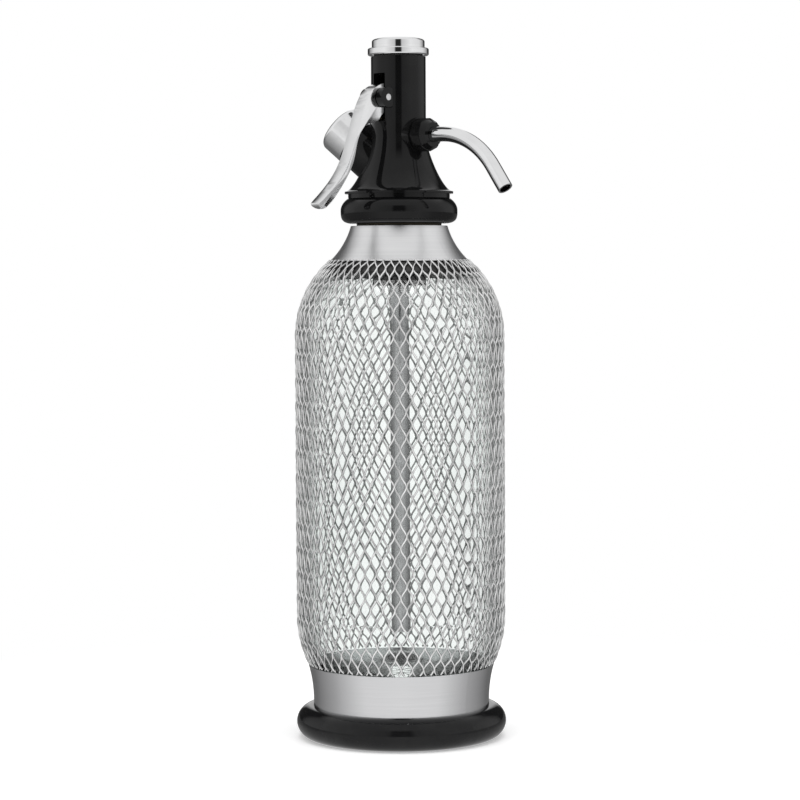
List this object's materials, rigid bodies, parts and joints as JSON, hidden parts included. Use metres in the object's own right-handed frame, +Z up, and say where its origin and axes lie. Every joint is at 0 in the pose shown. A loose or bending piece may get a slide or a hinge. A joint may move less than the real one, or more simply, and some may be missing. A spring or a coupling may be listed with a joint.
{
  "type": "soda siphon",
  "caption": "Glass soda siphon in a diamond wire sleeve, with a steel base band, black foot, black head, side lever, curved spout and angled gas port.",
  "frame": {"origin": "middle of the flat underside of the foot, on the table", "axes": "+Z up along the bottle's axis, +X along the spout; the lever hangs on the -Y side and the gas port points back to the -X side"},
  "size_m": [0.1201, 0.1027, 0.3303],
  "materials": {
    "black_base": "gloss",
    "black_head": "gloss",
    "black_tube": "satin",
    "rubber": "matte",
    "steel": "polished",
    "steel_tube": "satin",
    "spring_steel": "satin",
    "wire": "bright",
    "chrome": "polished",
    "brass": "satin",
    "glass": "clear"
  },
  "bodies": {
    "bottle": {"foot": "black_base", "base_band": "steel", "base_cushion": "rubber", "glass_bottle": "glass", "wire_sleeve": "wire", "collar_gasket": "rubber", "neck_collar": "chrome", "neck_sleeve": "brass", "measuring_tube": "black_tube"},
    "head_seal": {"head_gasket": "rubber"},
    "head": {"head_base_ring": "black_head", "head_shell": "black_head", "valve_body": "brass", "riser_tube": "steel_tube", "riser_gasket": "rubber", "pivot_pin": "steel", "spout_gasket": "rubber", "gas_check_valve": "rubber", "piercing_pin": "steel"},
    "lever": {"lever": "chrome"},
    "valve": {"valve_seal": "rubber", "valve_piston": "brass", "piston_o_ring": "rubber", "piston_spring": "spring_steel"},
    "cap_seal": {"cap_gasket": "rubber"},
    "cap": {"top_cap": "chrome"},
    "spout": {"spout_tube": "chrome"},
    "nut": {"spout_nut": "black_head"},
    "gas_port_seal": {"port_seal": "rubber"},
    "gas_port_cap": {"port_cap": "chrome"}
  },
  "joints": [
    {"name": "head_rise", "type": "slide", "parent": "bottle", "child": "head_seal", "axis": [0, 0, 1], "range_m": [0, 0.006]},
    {"name": "head_screw", "type": "hinge", "parent": "head_seal", "child": "head", "pos_m": [0, 0, 0.243], "axis": [0, 0, 1], "range_deg": [0, 720.1]},
    {"name": "lever_pull", "type": "hinge", "parent": "head", "child": "lever", "pos_m": [-0.00046, -0.01329, 0.3015], "axis": [0.9994, -0.0349, 0], "range_deg": [0, 14], "stiffness_Nm_per_rad": 0.32, "springref_deg": -17.19},
    {"name": "valve_lift", "type": "slide", "parent": "head", "child": "valve", "axis": [0, 0, 1], "range_m": [0, 0.0032], "deforming": ["piston_spring"]},
    {"name": "cap_rise", "type": "slide", "parent": "head", "child": "cap_seal", "axis": [0, 0, 1], "range_m": [0, 0.006]},
    {"name": "cap_screw", "type": "hinge", "parent": "cap_seal", "child": "cap", "pos_m": [0, 0, 0.3217], "axis": [0, 0, 1], "range_deg": [0, 1440.1]},
    {"name": "spout_draw", "type": "slide", "parent": "head", "child": "spout", "axis": [1, 0, 0], "range_m": [0, 0.00375]},
    {"name": "nut_screw", "type": "hinge", "parent": "spout", "child": "nut", "pos_m": [0.0145, 0, 0.284], "axis": [1, 0, 0], "range_deg": [0, 1080.1]},
    {"name": "port_cap_rise", "type": "slide", "parent": "head", "child": "gas_port_seal", "axis": [-0.704, -0.2844, 0.6508], "range_m": [0, 0.006]},
    {"name": "port_cap_screw", "type": "hinge", "parent": "gas_port_seal", "child": "gas_port_cap", "pos_m": [-0.01957, -0.00791, 0.28109], "axis": [-0.704, -0.2844, 0.6508], "range_deg": [0, 1080.1]}
  ],
  "couplings": [
    {"joint": "head_screw", "follows": "head_rise", "rad_per_m": 2094.4},
    {"joint": "valve_lift", "follows": "lever_pull", "m_per_rad": 0.0127},
    {"joint": "cap_screw", "follows": "cap_rise", "rad_per_m": 4188.8},
    {"joint": "nut_screw", "follows": "spout_draw", "rad_per_m": 5026.5},
    {"joint": "port_cap_screw", "follows": "port_cap_rise", "rad_per_m": 3141.6}
  ]
}
